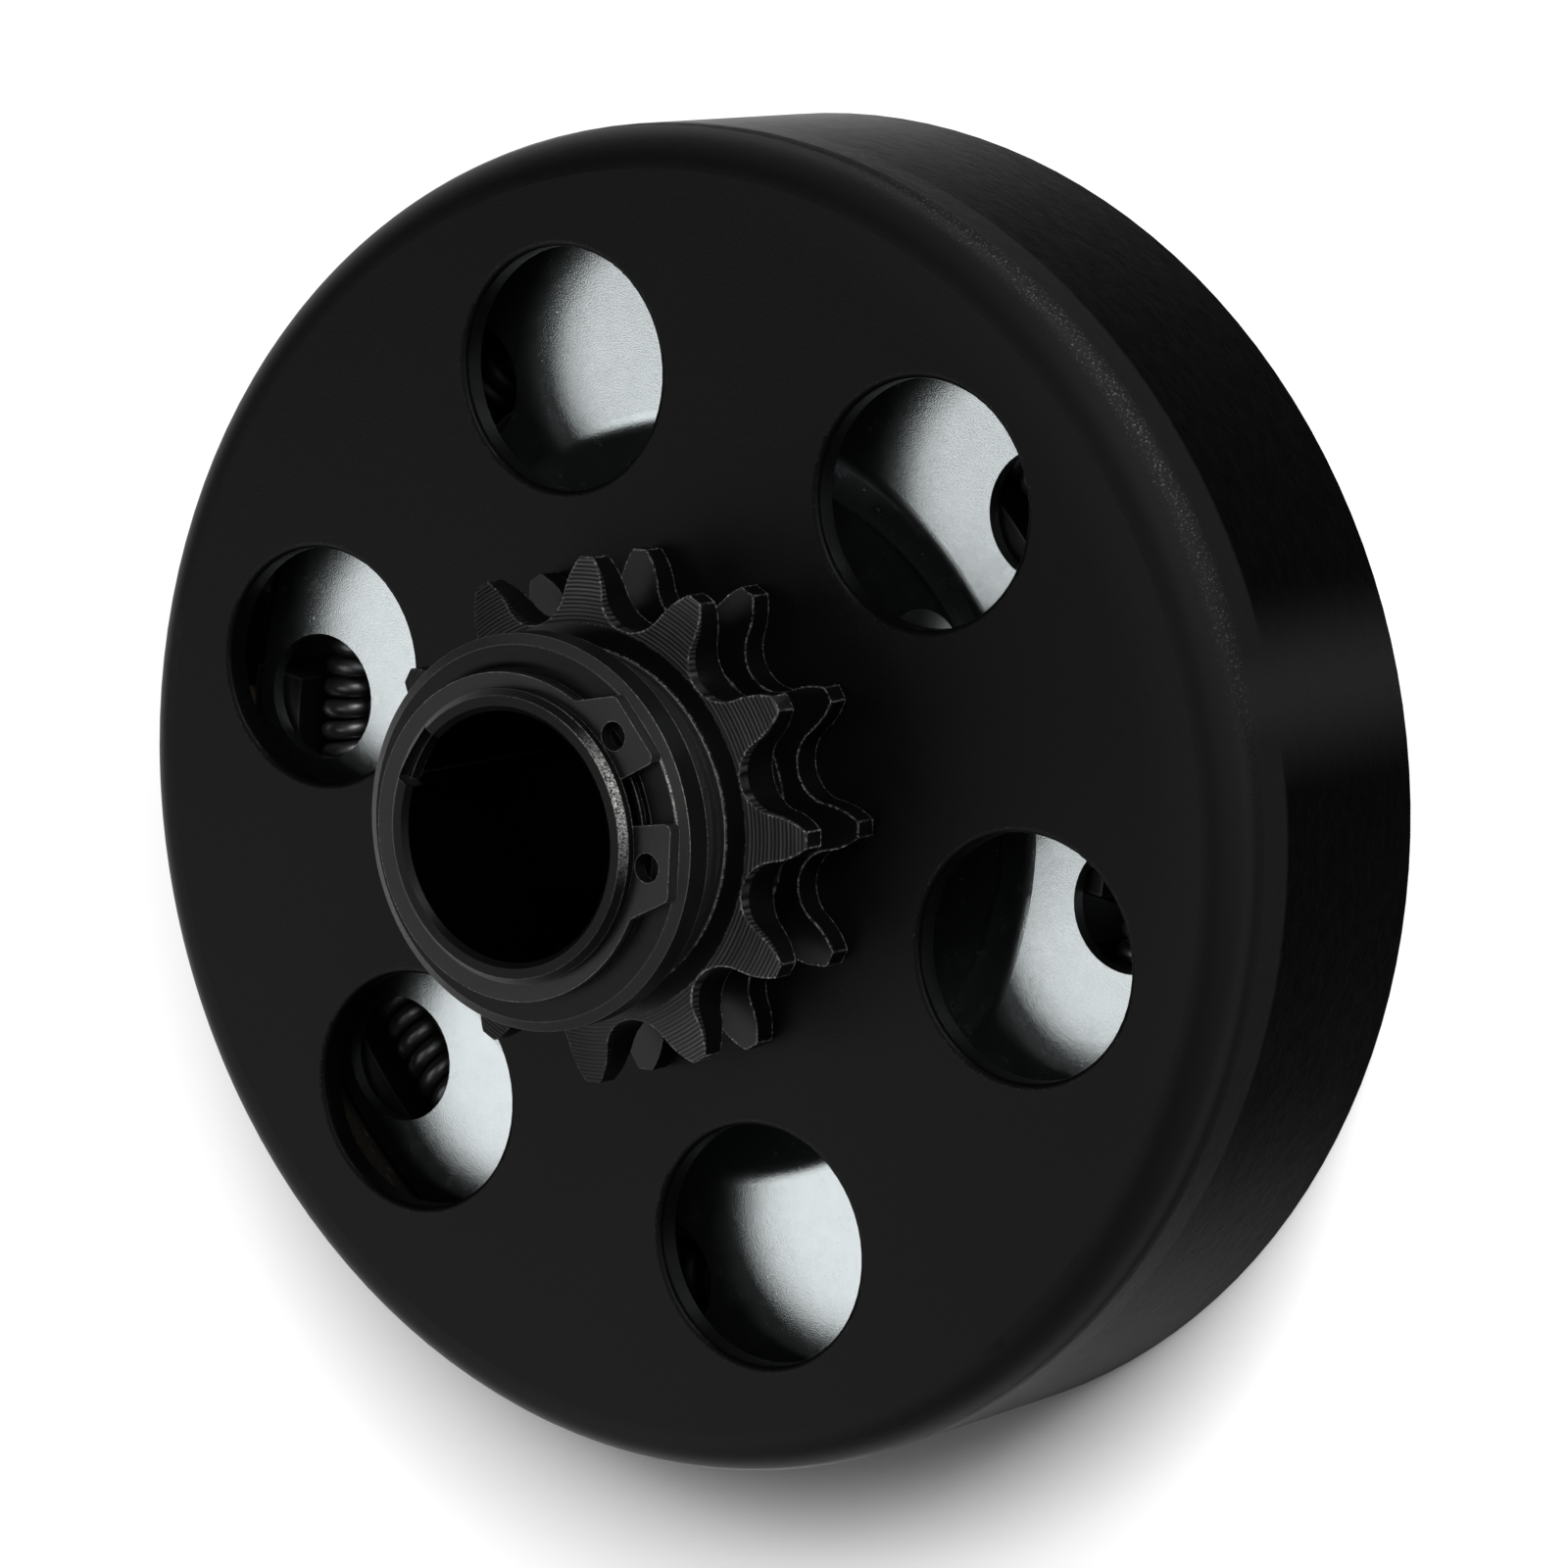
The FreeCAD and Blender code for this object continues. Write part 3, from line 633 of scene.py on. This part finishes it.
def dress_all():
    """Gives the CAD nodes their materials. Nodes of one kind differ only in their last number."""
    washer = washer_black()
    plate = zinc("zinc_plate", tone=(0.68, 0.73, 0.74), roughness=0.26)
    materials = {
        "drum": drum_black(),
        "sprocket": sprocket_black(),
        "hub": hub_black(),
        "front_washer": washer,
        "inner_thrust_washer": washer,
        "retaining_ring": ring_black(),
        "bushing": bronze(),
        "front_cover_plate": plate,
        "rear_cover_plate": plate,
        "rivet": zinc("rivet_steel", tone=(0.19, 0.196, 0.20), roughness=0.40),
        "shoe": shoe_iron(),
        "lining": lining(),
    }
    for name, node in nodes.items():
        kind = name.rstrip("_0123456789")
        if kind in materials:
            node.data.materials.clear()
            node.data.materials.append(materials[kind])


def on_circle(radius, turn, z):
    """Point at a radius and an angle round the shaft axis."""
    return Vector((radius * math.cos(turn), radius * math.sin(turn), z))


def make_garter_spring():
    """Coil wound on the ring, inside the space of the plain ring that it stands for."""
    turn_radius = spring_coil_radius - spring_wire_diameter / 2
    steps = spring_turns * spring_steps_per_turn
    wire_radius = spring_wire_diameter / 2
    verts = []
    faces = []

    def centre_line(step):
        around = math.tau * step / steps
        wound = math.tau * step / spring_steps_per_turn
        reach = spring_ring_radius + turn_radius * math.cos(wound)
        return on_circle(reach, around, spring_z - turn_radius * math.sin(wound))

    for step in range(steps):
        point = centre_line(step)
        ahead = (centre_line(step + 1) - centre_line(step - 1)).normalized()
        ring_centre = on_circle(spring_ring_radius, math.tau * step / steps, spring_z)
        outward = (point - ring_centre).normalized()
        outward = (outward - ahead * outward.dot(ahead)).normalized()
        beside = ahead.cross(outward)
        for side in range(spring_wire_sides):
            turn = math.tau * side / spring_wire_sides
            place = point + (outward * math.cos(turn) + beside * math.sin(turn)) * wire_radius
            verts.append(place * MM)
    for step in range(steps):
        this_ring = step * spring_wire_sides
        next_ring = (step + 1) % steps * spring_wire_sides
        for side in range(spring_wire_sides):
            beyond = (side + 1) % spring_wire_sides
            faces.append((this_ring + side, this_ring + beyond, next_ring + beyond, next_ring + side))
    mesh = bpy.data.meshes.new("garter_spring_coil")
    mesh.from_pydata(verts, [], faces)
    mesh.shade_smooth()
    coil = bpy.data.objects.new("garter_spring_coil", mesh)
    bpy.context.scene.collection.objects.link(coil)
    mesh.materials.append(spring_steel())
    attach(coil, "hub_assembly")
    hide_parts("garter_spring")


def floor_paper():
    """Pale paper that is seen paler than it lights things, most of all far from the clutch."""
    s = Shader("floor_paper")
    lit = s.add("ShaderNodeBsdfDiffuse")
    lit.inputs["Color"].default_value = (*lit_paper, 1.0)
    seen = s.add("ShaderNodeBsdfDiffuse")
    seen.inputs["Color"].default_value = (*seen_paper, 1.0)
    distance = s.add("ShaderNodeVectorMath", operation="LENGTH")
    s.link(s.place, distance.inputs[0])
    glow = s.add("ShaderNodeEmission")
    strength = s.ramp(distance.outputs["Value"], glow_start_mm, glow_end_mm, near_glow, far_glow)
    s.link(strength, glow.inputs["Strength"])
    glowing = s.add("ShaderNodeAddShader")
    s.link(seen.outputs[0], glowing.inputs[0])
    s.link(glow.outputs[0], glowing.inputs[1])

    rays = s.add("ShaderNodeLightPath").outputs
    mirrored = s.math("MAXIMUM", rays["Is Glossy Ray"], rays["Is Transmission Ray"])
    choice = s.add("ShaderNodeMixShader")
    s.link(s.math("MAXIMUM", rays["Is Camera Ray"], mirrored), choice.inputs[0])
    s.link(lit.outputs[0], choice.inputs[1])
    s.link(glowing.outputs[0], choice.inputs[2])
    return s.show(choice.outputs[0])


def make_floor():
    """Wide pale floor under the drum's rim."""
    mesh = bpy.data.meshes.new("floor")
    signs = ((-1, -1), (1, -1), (1, 1), (-1, 1))
    corners = [(x * floor_half_width, y * floor_half_width, -floor_depth) for x, y in signs]
    mesh.from_pydata(corners, [], [(0, 1, 2, 3)])
    mesh.materials.append(floor_paper())
    floor = bpy.data.objects.new("floor", mesh)
    bpy.context.scene.collection.objects.link(floor)
    return floor


def make_world():
    """Dim, even surroundings of a dark studio."""
    world = bpy.data.worlds.new("studio")
    bpy.context.scene.world = world
    world.use_nodes = True
    fill = world.node_tree.nodes["Background"]
    fill.inputs["Color"].default_value = (1.0, 1.0, 1.0, 1.0)
    fill.inputs["Strength"].default_value = world_strength


def softbox(name, direction, distance, width, height, radiance):
    """Rectangular lamp that faces the clutch. Its radiance is what a mirror would show of it."""
    lamp = bpy.data.lights.new(name, "AREA")
    lamp.shape = "RECTANGLE"
    lamp.size = width
    lamp.size_y = height
    lamp.energy = radiance * math.pi * width * height
    place = bpy.data.objects.new(name, lamp)
    back = Vector(direction).normalized()
    place.location = Vector((0.0, 0.0, drum_face_z * MM)) + back * distance
    place.rotation_euler = back.to_track_quat("Z", "Y").to_euler()
    bpy.context.scene.collection.objects.link(place)
    return place


def share_light(lamp, floor, on_floor):
    """Keeps a lamp's light off the floor, or on the floor alone."""
    group = bpy.data.collections.new(lamp.name + "_floor")
    group.objects.link(floor)
    group.collection_objects[0].light_linking.link_state = "INCLUDE" if on_floor else "EXCLUDE"
    lamp.light_linking.receiver_collection = group


def make_lights(floor):
    """A large box that the face and plates mirror, smaller ones for bevels and edges, and the floor's."""
    for lamp in piece_lamps:
        share_light(softbox(*lamp), floor, on_floor=False)
    share_light(softbox(*floor_lamp), floor, on_floor=True)


def make_camera():
    """Camera at the photograph's angle, with the photograph's framing."""
    camera = bpy.data.cameras.new("photo_camera")
    camera.sensor_width = sensor_width_mm
    camera.lens = focal_length_pixels / photo_pixels * sensor_width_mm
    middle = photo_pixels / 2
    camera.shift_x = (middle - principal_point_pixels[0]) / photo_pixels
    camera.shift_y = (principal_point_pixels[1] - middle) / photo_pixels
    camera.clip_start = clip_near
    camera.clip_end = clip_far
    place = bpy.data.objects.new("photo_camera", camera)
    azimuth = math.radians(view_azimuth)
    elevation = math.radians(view_elevation)
    flat = math.cos(elevation)
    back = Vector((math.sin(azimuth) * flat, -math.cos(azimuth) * flat, math.sin(elevation)))
    level = back.to_track_quat("Z", "Y").to_matrix().to_4x4()
    roll = Matrix.Rotation(math.radians(view_roll), 4, "Z")
    place.matrix_world = Matrix.Translation(view_target + back * view_distance) @ level @ roll
    bpy.context.scene.collection.objects.link(place)
    bpy.context.scene.camera = place


bpy.context.scene.view_settings.view_transform = "Standard"
dress_all()
make_garter_spring()
make_world()
make_lights(make_floor())
make_camera()
bpy.context.view_layer.update()
